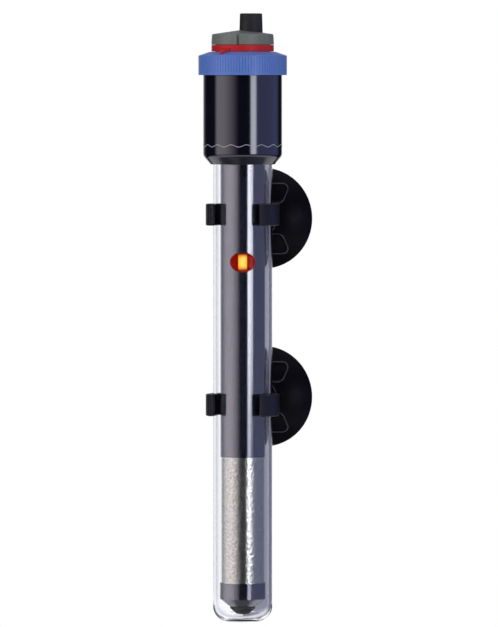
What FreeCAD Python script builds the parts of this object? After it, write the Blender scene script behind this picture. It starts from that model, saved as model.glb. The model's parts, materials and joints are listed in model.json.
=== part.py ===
import FreeCAD, Part
import math
import os

# Submersible aquarium heater, in millimetres.
# The heater is drawn upright about the Z axis with the glass tip at height 0 and its front at -Y.
# save_heater() turns it in its clips and moves it to the wall frame: the origin lies on the wall,
# midway between the two suction cups, with +Z up and +Y into the wall.

V = FreeCAD.Vector
Z = V(0, 0, 1)

# Clearances
RUN = 0.05          # radial, between a shaft and its bore
SEAT = 0.05         # radial, between fixed round pieces
FACE = 0.3          # between faces of pieces that move past each other
GLIDE = 0.15        # between the flat rings that are turned by hand

QUARTER_BULGE = 0.2929  # rise of a quarter round above its chord, for a radius of 1

# Glass tube
TUBE_R = 11.7
GLASS_WALL = 1.2
GLASS_FOOT = 2.0
GLASS_CORNER_R = 9.3
GLASS_STEPS = 5
TUBE_ENTRY = 17.5

# Head housing
HEAD_WALL = 1.8
HEAD_FOOT_LIP = 1.0
HEAD_CHAMFER_H = 3.4
HEAD_FOOT_Z = 180.5
HEAD_SHELF_T = 2.0
HEAD_FLOOR_T = 2.5
HEAD_H = 35.7
NECK_R = 8.0
NECK_WALL = 1.2
SEAL_T = 2.0
SEAL_H = 8.0
SEAL_LIP = 0.5
SEAL_BAND = 2.0

# Adjusting ring with its inner gear
RING_WALL = 2.95
RING_H = 8.35
RING_SKIRT_H = 0.5
RIB_FOOT = 0.8
RIB_END = 0.2
RING_WEB_T = 2.5
RING_BEVEL_H = 1.5
RING_BEVEL_W = 4.4
RIB_COUNT = 96
RIB_DEPTH = 0.25
RIB_SHARE = 0.45
ADJUST_HALF_TURN = 140.0

# Gear pair
MODULE = 0.4
RING_TEETH = 70
PINION_TEETH = 12
TIP_SHARE = 0.9
ROOT_SHARE = 1.25
BACKLASH = 0.18
PRESSURE_ANGLE = 20.0

# Stops of the adjusting ring
STOP_W = 1.6
STOP_R = 10.5
LUG_W = 2.0

# Collars that close the gaps under the pointer ring and the cap
COLLAR_BACK = 1.9
COLLAR_W = 0.8
COLLAR_H = 0.6

# Pointer ring and cap
POINTER_RING_R = 12.3
POINTER_RING_H = 2.55
POINTER_W = 4.4
POINTER_BACK = 1.15
POINTER_ROOT = 1.0
POINTER_TIP_W = 0.6
POINTER_T = 0.9
POINTER_TURN = -33.0
CAP_R = 12.35
CAP_TOP_R = 12.15
CAP_SIDE_H = 4.1
CAP_DOME_H = 1.8
CAP_ROOF_T = 2.0
CAP_EDGE_R = 0.35
GROOVE_W = 0.9
GROOVE_DEPTH = 0.6
GROOVE_TURN = -8.6

# Cable boot
CORD_R = 3.0
CORD_OFFSET = 3.3
BOOT_TOP_R = 4.4
BOOT_FOOT_R = 4.65
BOOT_RISE = 6.4
BOOT_WAIST_R = 3.9
BOOT_LEDGE_T = 1.0
BOOT_RIM_R = 0.3

# Spindle and travelling nut
SPINDLE_R = 1.2
SPINDLE_FOOT_R = 0.8
BUSH_R = 2.2
BUSH_H = 1.3
ORING_R = 0.45
PINION_H = 4.6
PINION_UP = 0.5
PINION_FIT = 0.02
NUT_R = 2.5
NUT_H = 3.5
NUT_REST_UP = 4.8
NUT_ARM_T = 2.0
NUT_ARM_W = 3.0
ROD_R = 1.0
ROD_X = 5.0
ROD_Y = 3.95
ROD_FOOT_DROP = 11.0
ROD_TAPER_H = 4.0
ROD_TIP_R = 0.4

# Thermostat
FLANGE_GAP = 0.9
FLANGE_T = 2.0
PLATE_W = 13.0
PLATE_T = 1.6
PLATE_FRONT_Y = -1.0
PLATE_FOOT_Z = 98.0
LEAD_ENTRY = 4.0
SLEEVE_R = 8.8
SLEEVE_WALL = 0.6
WINDOW_Z = 142.1
WINDOW_W = 9.8
WINDOW_H = 8.0
BIMETAL_W = 5.0
BIMETAL_T = 0.3
BIMETAL_BACK = 1.6
PIVOT_Z = 175.0
BIMETAL_L = 30.0
BIMETAL_HEAD = 1.5
EAR_DROP = 8.0
EAR_H = 4.0
CLAMP_H = 4.0
CLAMP_W = 7.0
CLAMP_GAP = 0.3
CONTACT_R = 1.2
CONTACT_T = 0.5
CONTACT_UP = 5.0
CONTACT_GAP = 0.1
BRACKET_RIM = 0.5
MAGNET_H = 2.0
MAGNET_W = 4.0
MAGNET_GAP = 0.4
LAMP_R = 1.8
LAMP_H = 9.0
LAMP_ROUND_R = 1.1
POCKET_WALL = 0.6

# Heating cartridge
CARTRIDGE_TOP_Z = 65.1
CUP_RIM_Z = 15.3
CUP_SOCKET = 3.9
CARTRIDGE_R = 8.6
CARTRIDGE_WALL = 1.1
CORE_R = 7.2
CORE_HOLES = 6
CORE_HOLE_R = 1.1
WIRE_BEND_ROOM = 0.6
WIRE_W = 1.5
WIRE_RING_R = 5.9
DISC_T = 3.0
CUP_TOP_R = 9.0
CUP_SHOULDER_Z = 9.0
CUP_FOOT_Z = 5.8
CUP_FOOT_R = 5.2
PAD_TOP_R = 5.0
PAD_FOOT_R = 2.6
LEAD_R = 0.8
LEAD_X = 4.2

# Small parts on the frame's plate
CAPACITOR_W = 9.0
CAPACITOR_T = 3.2
CAPACITOR_H = 10.0
CAPACITOR_Z = 120.0
RESISTOR_R = 1.1
RESISTOR_WAIST_R = 0.9
RESISTOR_H = 7.0
RESISTOR_END = 1.4
RESISTOR_Z = 108.0
TERMINAL_W = 3.0
TERMINAL_T = 0.8
TERMINAL_H = 10.0
TERMINAL_X = 3.6
TERMINAL_DROP = 12.0
RIVET_R = 0.6
RIVET_HEAD_R = 1.0
RIVET_HEAD_T = 0.5
RIVET_X = 2.3

# Clips and suction cups
TURN_IN_CLIPS = 16.0
CLIP_SLIDE_RUN = 0.08
CLIP_T = 2.8
CLIP_H = 8.6
CLIP_OPENING = 95.0
CLIP_TIP_R = 0.8
CLIP_EDGE = 0.4
CLIP_UPPER_Z = 160.7
CLIP_LOWER_Z = 85.6
STUD_OFFSET = 2.0
BOSS_R = 4.7
BOSS_OUT = 17.0
STUD_R = 2.5
STUD_HEAD_R = 3.6
STUD_NECK_L = 2.4
STUD_HEAD_L = 2.6
STUD_TIP_R = 2.0
WALL_DISTANCE = 30.5
SUCKER_R = 20.1
SUCKER_RIM_T = 0.9
SUCKER_LIP_W = 1.6
SUCKER_DEPTH = 6.0
SUCKER_DOME_H = 8.6
SUCKER_NECK_R = 5.6
SUCKER_BULGE = 1.3
SUCKER_HOLLOW_BULGE = 1.3
DOME_STEPS = 3
HOLLOW_STEPS = 2
FILLET_STEPS = 1
SUCKER_FILLET = 1.4
POCKET_DEPTH = 0.6
POCKET_X = 9.7
POCKET_FLARE = 2.4
POCKET_LOW = 6.1
POCKET_HIGH = 14.0
POCKET_CORNER = 1.6

# Sizes that follow from those above
glass_length = HEAD_FOOT_Z + TUBE_ENTRY
head_top_z = HEAD_FOOT_Z + HEAD_H
glass_inner_r = TUBE_R - GLASS_WALL
head_inner_r = TUBE_R + SEAL_T + 2 * SEAT
head_r = head_inner_r + HEAD_WALL
head_foot_r = TUBE_R + HEAD_FOOT_LIP
head_shoulder_z = HEAD_FOOT_Z + HEAD_CHAMFER_H
head_shelf_z = head_shoulder_z + HEAD_SHELF_T
head_floor_z = head_top_z - HEAD_FLOOR_T
neck_inner_r = NECK_R - NECK_WALL
ring_foot_z = head_top_z + FACE
ring_top_z = ring_foot_z + RING_H
ring_web_z = ring_top_z - RING_WEB_T
pointer_foot_z = ring_top_z + GLIDE
cap_foot_z = pointer_foot_z + POINTER_RING_H + GLIDE
cap_edge_z = cap_foot_z + CAP_SIDE_H
cap_peak_z = cap_edge_z + CAP_DOME_H
neck_top_z = cap_edge_z - CAP_ROOF_T
boot_seat_z = neck_top_z + SEAT + BOOT_LEDGE_T
boot_top_z = cap_peak_z + BOOT_RISE
collar_r = POINTER_RING_R - COLLAR_BACK
ring_pitch_r = MODULE * RING_TEETH / 2
pinion_pitch_r = MODULE * PINION_TEETH / 2
skirt_z = head_top_z - RING_SKIRT_H
skirt_r = head_r + FACE
ring_inner_r = ring_pitch_r + ROOT_SHARE * MODULE
ring_r = ring_inner_r + RING_WALL
ring_bevel_r = ring_r - RING_BEVEL_W
pointer_reach = ring_r - POINTER_BACK
spindle_y = ring_pitch_r - pinion_pitch_r
flange_foot_z = glass_length + SEAT
flange_top_z = flange_foot_z + FLANGE_T
flange_r = head_inner_r - FLANGE_GAP
plate_back_y = PLATE_FRONT_Y + PLATE_T
bimetal_front_y = plate_back_y + BIMETAL_BACK
bimetal_back_y = bimetal_front_y + BIMETAL_T
bimetal_foot_z = PIVOT_Z - BIMETAL_L
contact_z = bimetal_foot_z + CONTACT_UP
sleeve_inner_r = SLEEVE_R - SLEEVE_WALL
cartridge_foot_z = CUP_RIM_Z - CUP_SOCKET
cartridge_inner_r = CARTRIDGE_R - CARTRIDGE_WALL
clip_inner_r = TUBE_R + CLIP_SLIDE_RUN
clip_outer_r = clip_inner_r + CLIP_T
stud_end_y = BOSS_OUT + STUD_NECK_L + STUD_HEAD_L
cup_upper_z = CLIP_UPPER_Z - STUD_OFFSET
cup_lower_z = CLIP_LOWER_Z + STUD_OFFSET
wall_mid_z = (cup_upper_z + cup_lower_z) / 2


def line(a, b):
    return Part.LineSegment(V(a[0], 0, a[1]), V(b[0], 0, b[1])).toShape()


def revolved(points, degrees=360.0):
    """Turn an outline of (radius, height) points about Z."""
    edges = [line(points[i], points[(i + 1) % len(points)]) for i in range(len(points))]
    return Part.Face(Part.Wire(edges)).revolve(V(0, 0, 0), Z, degrees)


def arc_points(a, b, bulge, steps):
    """Points along the arc from a to b that stands bulge to the left of the line between them."""
    length = math.hypot(b[0] - a[0], b[1] - a[1])
    radius = (length ** 2 / 4 + bulge ** 2) / (2 * bulge)
    half = math.asin(length / 2 / radius)
    ux, uy = (b[0] - a[0]) / length, (b[1] - a[1]) / length
    mx, my = (a[0] + b[0]) / 2, (a[1] + b[1]) / 2
    points = []
    for i in range(steps + 1):
        angle = -half + 2 * half * i / steps
        along = radius * math.sin(angle)
        out = radius * math.cos(angle) - (radius - bulge)
        points.append((mx + ux * along - uy * out, my + uy * along + ux * out))
    return points


def round_corner(a, b, radius, steps):
    """Points along the quarter round of a radius from a to b."""
    return arc_points(a, b, -QUARTER_BULGE * radius, steps)


def rod(radius, z0, z1, x=0.0, y=0.0):
    return Part.makeCylinder(radius, z1 - z0, V(x, y, z0), Z)


def pipe(outer, inner, z0, z1, x=0.0, y=0.0):
    return rod(outer, z0, z1, x, y).cut(rod(inner, z0 - 1, z1 + 1, x, y))


def block(x0, x1, y0, y1, z0, z1):
    return Part.makeBox(x1 - x0, y1 - y0, z1 - z0, V(x0, y0, z0))


def centred(width, y0, y1, z0, z1):
    """Block whose width lies equally on both sides of the middle plane."""
    return block(-width / 2, width / 2, y0, y1, z0, z1)


def prism(points, z0, z1):
    """Extrude a flat polygon of (x, y) points from one height to another."""
    corners = [V(x, y, z0) for x, y in points]
    return Part.Face(Part.makePolygon(corners + corners[:1])).extrude(V(0, 0, z1 - z0))


def polar(radius, degrees):
    angle = math.radians(degrees)
    return (radius * math.cos(angle), radius * math.sin(angle))


def turned(shape, degrees, axis=Z, at=V(0, 0, 0)):
    copy = shape.copy()
    copy.rotate(at, axis, degrees)
    return copy


def joined(shapes):
    return shapes[0].multiFuse(shapes[1:]).removeSplitter()


def save(node, shape):
    moved = shape.copy()
    moved.translate(V(0, -WALL_DISTANCE, -wall_mid_z))
    moved.exportStep("parts/%s.step" % node)


def save_heater(node, shape):
    save(node, turned(shape, TURN_IN_CLIPS))


def gear_outline(teeth, inner):
    """Tooth outline: straight flanks through the pitch points, with backlash shared by both gears."""
    pitch_r = MODULE * teeth / 2
    outward = -1 if inner else 1
    tip_r = pitch_r + outward * TIP_SHARE * MODULE
    root_r = pitch_r - outward * ROOT_SHARE * MODULE
    half = math.pi * MODULE / 4 - BACKLASH / 4
    lean = math.tan(math.radians(PRESSURE_ANGLE))
    tip_half = half - abs(tip_r - pitch_r) * lean
    root_half = half + abs(root_r - pitch_r) * lean
    points = []
    for i in range(teeth):
        centre = 360.0 * i / teeth
        tooth = ((root_r, -root_half), (tip_r, -tip_half), (tip_r, tip_half), (root_r, root_half))
        for radius, width in tooth:
            points.append(polar(radius, centre + math.degrees(width / radius)))
    return points


def make_glass_tube():
    """Test-tube form: one wall, a thick foot and round corners."""
    inner_corner = GLASS_CORNER_R - GLASS_WALL
    floor_r = TUBE_R - GLASS_CORNER_R
    outer = round_corner((floor_r, 0), (TUBE_R, GLASS_CORNER_R), GLASS_CORNER_R, GLASS_STEPS)
    inner_end = (glass_inner_r, GLASS_FOOT + inner_corner)
    inner = round_corner((floor_r, GLASS_FOOT), inner_end, inner_corner, GLASS_STEPS)
    rim = [(TUBE_R, glass_length), (glass_inner_r, glass_length)]
    return revolved([(0, 0)] + outer + rim + inner[::-1] + [(0, GLASS_FOOT)])


def stop_angle():
    """Angle from the pinion to each stop, so that the lug meets it just past the ring's travel."""
    arc = (STOP_W / 2 + LUG_W / 2 + FACE) / NECK_R
    return 180 - ADJUST_HALF_TURN - math.degrees(arc)


def make_head_housing():
    shell = revolved([
        (TUBE_R + SEAT, HEAD_FOOT_Z), (head_foot_r, HEAD_FOOT_Z), (head_r, head_shoulder_z),
        (head_r, head_top_z), (NECK_R, head_top_z), (NECK_R, neck_top_z), (neck_inner_r, neck_top_z),
        (neck_inner_r, head_floor_z), (head_inner_r, head_floor_z), (head_inner_r, head_shelf_z),
        (TUBE_R + SEAT, head_shelf_z)])
    bush_seat = rod(BUSH_R + SEAT, head_floor_z - 1, head_top_z - FACE, 0, spindle_y)
    spindle_hole = rod(SPINDLE_R + RUN, head_floor_z - 1, head_top_z + 1, 0, spindle_y)
    boss = rod(BUSH_R + HEAD_WALL, head_floor_z, head_top_z, 0, spindle_y)
    stops = []
    for side in (-1, 1):
        rib = block(NECK_R - NECK_WALL / 2, STOP_R, -STOP_W / 2, STOP_W / 2, head_top_z, ring_web_z - FACE)
        stops.append(turned(rib, 90 + side * stop_angle()))
    within = rod(head_r, HEAD_FOOT_Z, cap_peak_z)
    return joined([shell, boss.common(within)] + stops).cut(bush_seat).cut(spindle_hole)


def make_tube_seal():
    """Rubber ring with two lips, on the glass just above the housing's inner shelf."""
    inner = TUBE_R + SEAT
    outer = head_inner_r - SEAT
    foot = head_shelf_z + SEAT
    waist = outer - SEAL_LIP
    top = foot + SEAL_H
    return revolved([
        (inner, foot), (outer, foot), (outer, foot + SEAL_BAND), (waist, foot + SEAL_BAND + SEAL_LIP),
        (waist, top - SEAL_BAND - SEAL_LIP), (outer, top - SEAL_BAND), (outer, top), (inner, top)])


def collar(foot):
    """Low rim on a turning ring; it runs in the groove of the piece above."""
    return pipe(collar_r + COLLAR_W / 2, collar_r - COLLAR_W / 2, foot - COLLAR_H, foot + COLLAR_H)


def collar_groove(low, high):
    room = COLLAR_W / 2 + FACE
    return pipe(collar_r + room, collar_r - room, low, high)


def make_adjusting_ring():
    """Blue ring: inner gear, a lug for the stops, a skirt over the housing's edge and a ribbed rim."""
    bevel_z = ring_top_z - RING_BEVEL_H
    body = revolved([
        (NECK_R + RUN, ring_web_z), (ring_inner_r, ring_web_z), (ring_inner_r, ring_foot_z),
        (skirt_r, ring_foot_z), (skirt_r, skirt_z), (ring_r, skirt_z), (ring_r, bevel_z),
        (ring_bevel_r, ring_top_z), (NECK_R + RUN, ring_top_z)])
    blank = pipe(ring_inner_r + FACE, ring_pitch_r - TIP_SHARE * MODULE, ring_foot_z, ring_web_z)
    spaces = prism(gear_outline(RING_TEETH, True), ring_foot_z - 1, ring_web_z)
    lug = block(NECK_R + FACE, STOP_R, -LUG_W / 2, LUG_W / 2, ring_foot_z + 1, ring_web_z + 1)
    ring = joined([body, blank, turned(lug, -90), collar(ring_top_z)])
    ring = ring.cut(spaces)
    slot_half = 180.0 * (1 - RIB_SHARE) / RIB_COUNT
    slots = []
    for i in range(RIB_COUNT):
        centre = 360.0 * i / RIB_COUNT
        corners = [polar(ring_r + 1, centre - slot_half), polar(ring_r + 1, centre + slot_half),
                   polar(ring_r - RIB_DEPTH, centre)]
        slots.append(prism(corners, skirt_z + RIB_FOOT, bevel_z - RIB_END))
    return ring.cut(Part.makeCompound(slots))


def make_drive_pinion():
    low = ring_foot_z + PINION_UP
    blank = prism(gear_outline(PINION_TEETH, False), low, low + PINION_H)
    blank = turned(blank, 90)
    blank.translate(V(0, spindle_y, 0))
    return blank.cut(rod(SPINDLE_R + PINION_FIT, low - 1, low + PINION_H + 1, 0, spindle_y))


def make_adjusting_spindle():
    """Stepped spindle: pinion end, sealed neck, threaded length and foot pivot in the flange."""
    foot = flange_foot_z + FACE
    step = flange_top_z + FACE
    top = ring_web_z - FACE
    body = rod(SPINDLE_R, step, top, 0, spindle_y)
    return joined([body, rod(SPINDLE_FOOT_R, foot, step, 0, spindle_y)])


def make_spindle_bush():
    return pipe(BUSH_R, SPINDLE_R + RUN, head_floor_z, head_floor_z + BUSH_H - SEAT, 0, spindle_y)


def make_spindle_seal():
    """Four-lipped rubber ring between the spindle and its seat, above the bush."""
    inner = SPINDLE_R + RUN
    outer = inner + 2 * ORING_R
    foot = head_floor_z + BUSH_H
    top = foot + 2 * ORING_R
    notch = ORING_R / 2
    ring = revolved([
        (inner, foot), (outer, foot), (outer - notch, foot + ORING_R), (outer, top), (inner, top),
        (inner + notch, foot + ORING_R)])
    ring.translate(V(0, spindle_y, 0))
    return ring


def make_calibration_ring():
    """Flat ring on the neck, with a pointer that lies over the adjusting ring's bevel."""
    top = pointer_foot_z + POINTER_RING_H
    ring = pipe(POINTER_RING_R, NECK_R + RUN, pointer_foot_z, top)
    root_r = POINTER_RING_R - POINTER_ROOT
    tip_z = pointer_foot_z - (pointer_reach - ring_bevel_r) * RING_BEVEL_H / RING_BEVEL_W
    outline = [(root_r, pointer_foot_z), (ring_bevel_r, pointer_foot_z), (pointer_reach, tip_z),
               (pointer_reach, tip_z + POINTER_T / 2), (root_r, pointer_foot_z + 2 * POINTER_T)]
    side = [line(outline[i], outline[(i + 1) % len(outline)]) for i in range(len(outline))]
    sheet = Part.Face(Part.Wire(side)).extrude(V(0, POINTER_W, 0))
    sheet.translate(V(0, -POINTER_W / 2, 0))
    half = POINTER_W / 2
    tip = POINTER_TIP_W / 2
    arrow = prism([(root_r, -half), (POINTER_RING_R, -half), (pointer_reach, -tip),
                   (pointer_reach, tip), (POINTER_RING_R, half), (root_r, half)], tip_z - 1, top)
    pointer = turned(sheet.common(arrow), -90 + POINTER_TURN)
    groove = collar_groove(pointer_foot_z - FACE, pointer_foot_z + COLLAR_H)
    return joined([ring, pointer, collar(top)]).cut(groove)


def make_top_cap():
    """Grey cap over the neck, with a low conical roof, an index groove and the boot's stepped hole."""
    edge_z = cap_edge_z + CAP_EDGE_R * CAP_DOME_H / CAP_TOP_R
    shell = revolved([
        (NECK_R + SEAT, cap_foot_z), (CAP_R, cap_foot_z), (CAP_TOP_R, cap_edge_z - CAP_EDGE_R),
        (CAP_TOP_R - CAP_EDGE_R, edge_z), (0, cap_peak_z),
        (0, neck_top_z + SEAT), (NECK_R + SEAT, neck_top_z + SEAT)])
    hollow = collar_groove(cap_foot_z - 1, neck_top_z - CAP_ROOF_T / 2)
    groove = centred(GROOVE_W, -CAP_R - 1, -CAP_TOP_R + GROOVE_DEPTH, cap_foot_z - 1, cap_peak_z)
    seat = rod(BOOT_FOOT_R + SEAT, boot_seat_z, cap_peak_z + 1, CORD_OFFSET)
    waist = rod(BOOT_WAIST_R + SEAT, cap_foot_z, cap_peak_z, CORD_OFFSET)
    waist = waist.common(rod(CAP_R, neck_top_z, cap_peak_z))
    return shell.cut(hollow).cut(turned(groove, GROOVE_TURN)).cut(seat).cut(waist)


def make_cable_boot():
    """Rubber boot: tapered stub through the roof, seated on a ledge by its waist."""
    boot = revolved([
        (CORD_R, neck_top_z + SEAT), (BOOT_WAIST_R, neck_top_z + SEAT), (BOOT_WAIST_R, boot_seat_z),
        (BOOT_FOOT_R, boot_seat_z), (BOOT_TOP_R, boot_top_z - BOOT_RIM_R),
        (BOOT_TOP_R - BOOT_RIM_R, boot_top_z), (CORD_R, boot_top_z)])
    boot.translate(V(CORD_OFFSET, 0, 0))
    return boot


def make_setting_nut():
    """Nut on the spindle's thread, with an arm that carries the push rod."""
    foot = flange_top_z + NUT_REST_UP
    hub = rod(NUT_R, foot, foot + NUT_H, 0, spindle_y)
    arm_l = math.hypot(ROD_X, spindle_y - ROD_Y)
    arm = block(0, arm_l, -NUT_ARM_W / 2, NUT_ARM_W / 2, foot, foot + NUT_ARM_T)
    arm = turned(arm, math.degrees(math.atan2(ROD_Y - spindle_y, ROD_X)))
    arm.translate(V(0, spindle_y, 0))
    eye = rod(ROD_R + NUT_ARM_T / 2, foot, foot + NUT_ARM_T, ROD_X, ROD_Y)
    nut = joined([hub, arm, eye]).common(rod(head_inner_r - FACE, foot, foot + NUT_H))
    nut = nut.cut(rod(SPINDLE_R + RUN, foot - 1, foot + NUT_H + 1, 0, spindle_y))
    return nut.cut(rod(ROD_R + SEAT, foot - 1, foot + NUT_H + 1, ROD_X, ROD_Y))


def make_setting_rod():
    """Push rod with a tapered foot that bears on the bimetal strip's ear."""
    foot = PIVOT_Z - ROD_FOOT_DROP
    top = flange_top_z + NUT_REST_UP + NUT_ARM_T
    taper = Part.makeCone(ROD_TIP_R, ROD_R, ROD_TAPER_H, V(ROD_X, ROD_Y, foot), Z)
    return joined([rod(ROD_R, foot + ROD_TAPER_H, top, ROD_X, ROD_Y), taper])


def make_thermostat_frame():
    """Moulded plate hung from a flange that rests on the glass rim."""
    half = PLATE_W / 2
    flange = rod(flange_r, flange_foot_z, flange_top_z)
    top = flange_foot_z + FLANGE_T / 2
    plate = block(-half, half, PLATE_FRONT_Y, plate_back_y, PLATE_FOOT_Z, top)
    rib = block(-half, -half + PLATE_T, plate_back_y - PLATE_T / 2, plate_back_y + PLATE_T, PLATE_FOOT_Z, top)
    ear_z = PIVOT_Z - EAR_DROP
    window = centred(CLAMP_W / 2, PLATE_FRONT_Y - 1, plate_back_y + 1, ear_z - EAR_H * 2, ear_z)
    holes = [rod(ROD_R + RUN, flange_foot_z - 1, flange_top_z + 1, ROD_X, ROD_Y),
             rod(SPINDLE_FOOT_R + RUN, flange_foot_z - 1, flange_top_z + 1, 0, spindle_y),
             rod(CORD_R, flange_foot_z - 1, flange_top_z + 1, 0, -glass_inner_r / 2)]
    holes += [rivet_solid(x, RIVET_R + SEAT, RIVET_R + SEAT) for x in (-RIVET_X, RIVET_X)]
    return joined([flange, plate, rib]).cut(Part.makeCompound(holes + [window]))


def make_thermostat_sleeve():
    """Dark sleeve round the thermostat, with an oval window in front of the lamp."""
    sleeve = pipe(SLEEVE_R, sleeve_inner_r, CARTRIDGE_TOP_Z, flange_foot_z - SEAT)
    oval = Part.Ellipse(V(0, 0, 0), WINDOW_W / 2, WINDOW_H / 2).toShape()
    cutter = Part.Face(Part.Wire([oval])).extrude(V(0, 0, SLEEVE_R + 1))
    cutter.rotate(V(0, 0, 0), V(1, 0, 0), 90)
    cutter.translate(V(0, 0, WINDOW_Z))
    return sleeve.cut(cutter)


def make_lamp_pocket():
    """Red trough behind the window, open to the front, standing on the frame's plate."""
    half_w = WINDOW_W / 2
    half_h = WINDOW_H / 2 + POCKET_WALL
    front = -math.sqrt((sleeve_inner_r - SEAT) ** 2 - (half_w + POCKET_WALL) ** 2)
    low = WINDOW_Z - half_h
    body = centred(2 * (half_w + POCKET_WALL), front, PLATE_FRONT_Y, low, WINDOW_Z + half_h)
    depth = abs(front - PLATE_FRONT_Y) - POCKET_WALL
    bowl = rod(half_w, low + POCKET_WALL, WINDOW_Z + half_h - POCKET_WALL)
    squash = FreeCAD.Matrix()
    squash.scale(1, depth / half_w, 1)
    bowl = bowl.transformGeometry(squash)
    bowl.translate(V(0, front, 0))
    hole = rod(LAMP_R + SEAT, low - 1, WINDOW_Z + half_h + 1, 0, lamp_y())
    return body.cut(bowl).cut(hole)


def lamp_y():
    """The lamp stands just in front of the frame's plate."""
    return PLATE_FRONT_Y - POCKET_WALL - LAMP_R


def make_neon_lamp():
    half = LAMP_H / 2
    round_r = LAMP_ROUND_R
    lower = round_corner((LAMP_R - round_r, -half), (LAMP_R, round_r - half), round_r, 2)
    upper = [(r, -z) for r, z in reversed(lower)]
    lamp = revolved([(0, -half)] + lower + upper + [(0, half)])
    lamp.translate(V(0, lamp_y(), WINDOW_Z))
    return lamp


def make_bimetal_strip():
    """Thin strip that hangs in the clamp, with a side ear under the push rod."""
    foot = bimetal_foot_z
    strip = centred(BIMETAL_W, bimetal_front_y, bimetal_back_y, foot, PIVOT_Z + BIMETAL_HEAD)
    ear_z = PIVOT_Z - EAR_DROP
    ear = block(0, ROD_X + ROD_R, bimetal_front_y, bimetal_back_y, ear_z - EAR_H / 2, ear_z + EAR_H / 2)
    return joined([strip, ear])


def contact_button(y0, y1):
    return Part.makeCylinder(CONTACT_R, y1 - y0, V(0, y0, contact_z), V(0, 1, 0))


def make_moving_contact():
    return contact_button(bimetal_front_y - CONTACT_T, bimetal_front_y)


def make_contact_bracket():
    """Brass strip on the plate with a stud that carries the fixed contact."""
    top = bimetal_front_y - 2 * CONTACT_T - CONTACT_GAP
    half = CONTACT_R + BRACKET_RIM
    strip = centred(BIMETAL_W, plate_back_y, top, contact_z - half, contact_z + half)
    tail = centred(BIMETAL_W, plate_back_y, plate_back_y + BIMETAL_T, contact_z, contact_z + 3 * CONTACT_R)
    return joined([strip, tail])


def make_fixed_contact():
    top = bimetal_front_y - CONTACT_T - CONTACT_GAP
    return contact_button(top - CONTACT_T, top)


def make_snap_magnet():
    foot = bimetal_foot_z
    return centred(MAGNET_W, plate_back_y, bimetal_front_y - MAGNET_GAP, foot, foot + MAGNET_H)


def make_bimetal_clamp():
    """Block on the plate with a slot in which the strip's head can rock."""
    back = bimetal_back_y + 2 * CLAMP_GAP
    body = centred(CLAMP_W, plate_back_y, back, PIVOT_Z, PIVOT_Z + CLAMP_H)
    slot = centred(BIMETAL_W + 2 * CLAMP_GAP, bimetal_front_y - CLAMP_GAP / 2, bimetal_back_y + CLAMP_GAP / 2,
                   PIVOT_Z - 1, PIVOT_Z + BIMETAL_HEAD + CLAMP_GAP)
    holes = [rivet_solid(x, RIVET_R + SEAT, RIVET_R + SEAT) for x in (-RIVET_X, RIVET_X)]
    return body.cut(slot).cut(Part.makeCompound(holes))


def rivet_solid(x, shank_r, end_r):
    """Rivet along Y through the clamp and the plate, with a head at each end."""
    z = PIVOT_Z + (BIMETAL_HEAD + CLAMP_GAP + CLAMP_H) / 2
    front = PLATE_FRONT_Y
    back = bimetal_back_y + 2 * CLAMP_GAP
    along = V(0, 1, 0)
    shank = Part.makeCylinder(shank_r, back - front, V(x, front, z), along)
    heads = [Part.makeCylinder(end_r, RIVET_HEAD_T, V(x, front - RIVET_HEAD_T, z), along),
             Part.makeCylinder(end_r, RIVET_HEAD_T, V(x, back, z), along)]
    return joined([shank] + heads)


def make_clamp_rivets():
    return Part.makeCompound([rivet_solid(x, RIVET_R, RIVET_HEAD_R) for x in (-RIVET_X, RIVET_X)])


def make_suppressor_capacitor():
    front = PLATE_FRONT_Y - CAPACITOR_T
    body = centred(CAPACITOR_W, front, PLATE_FRONT_Y, CAPACITOR_Z, CAPACITOR_Z + CAPACITOR_H)
    middle_y = (front + PLATE_FRONT_Y) / 2
    upright = [e for e in body.Edges
               if abs(e.BoundBox.ZLength - CAPACITOR_H) < 0.01 and e.BoundBox.YMax < middle_y]
    return body.makeChamfer(CAPACITOR_T / 4, upright)


def make_lamp_resistor():
    y = PLATE_FRONT_Y - RESISTOR_R
    top = RESISTOR_Z + RESISTOR_H
    waist = rod(RESISTOR_WAIST_R, RESISTOR_Z, top, 0, y)
    ends = [rod(RESISTOR_R, z, z + RESISTOR_END, 0, y) for z in (RESISTOR_Z, top - RESISTOR_END)]
    return joined([waist] + ends)


def make_supply_terminals():
    """Two brass blades on the plate, under the flange, for the supply wires."""
    top = flange_foot_z - FACE
    blades = []
    for x in (-TERMINAL_X, TERMINAL_X):
        blade = block(x - TERMINAL_W / 2, x + TERMINAL_W / 2, PLATE_FRONT_Y - TERMINAL_T, PLATE_FRONT_Y,
                      top - TERMINAL_DROP, top - TERMINAL_DROP + TERMINAL_H)
        hole = Part.makeCylinder(TERMINAL_W / 4, 2 * TERMINAL_T,
                                 V(x, PLATE_FRONT_Y - 1.5 * TERMINAL_T, top - TERMINAL_W), V(0, 1, 0))
        blades.append(blade.cut(hole))
    return Part.makeCompound(blades)


def lead_spot(side):
    return (side * LEAD_X, PLATE_FRONT_Y - LEAD_R - SEAT)


def make_heater_leads():
    """Two insulated wires from the plate's foot down through the cartridge's top disc."""
    low = CARTRIDGE_TOP_Z - DISC_T
    high = PLATE_FOOT_Z + LEAD_ENTRY
    return Part.makeCompound([rod(LEAD_R, low, high, *lead_spot(side)) for side in (-1, 1)])


def make_cartridge_shell():
    return pipe(CARTRIDGE_R, cartridge_inner_r, cartridge_foot_z, CARTRIDGE_TOP_Z)


def make_end_disc(top, leads):
    disc = rod(cartridge_inner_r - SEAT, top - DISC_T, top)
    if leads:
        holes = [rod(LEAD_R + SEAT, top - DISC_T - 1, top + 1, *lead_spot(side)) for side in (-1, 1)]
        disc = disc.cut(Part.makeCompound(holes))
    return disc


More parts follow.
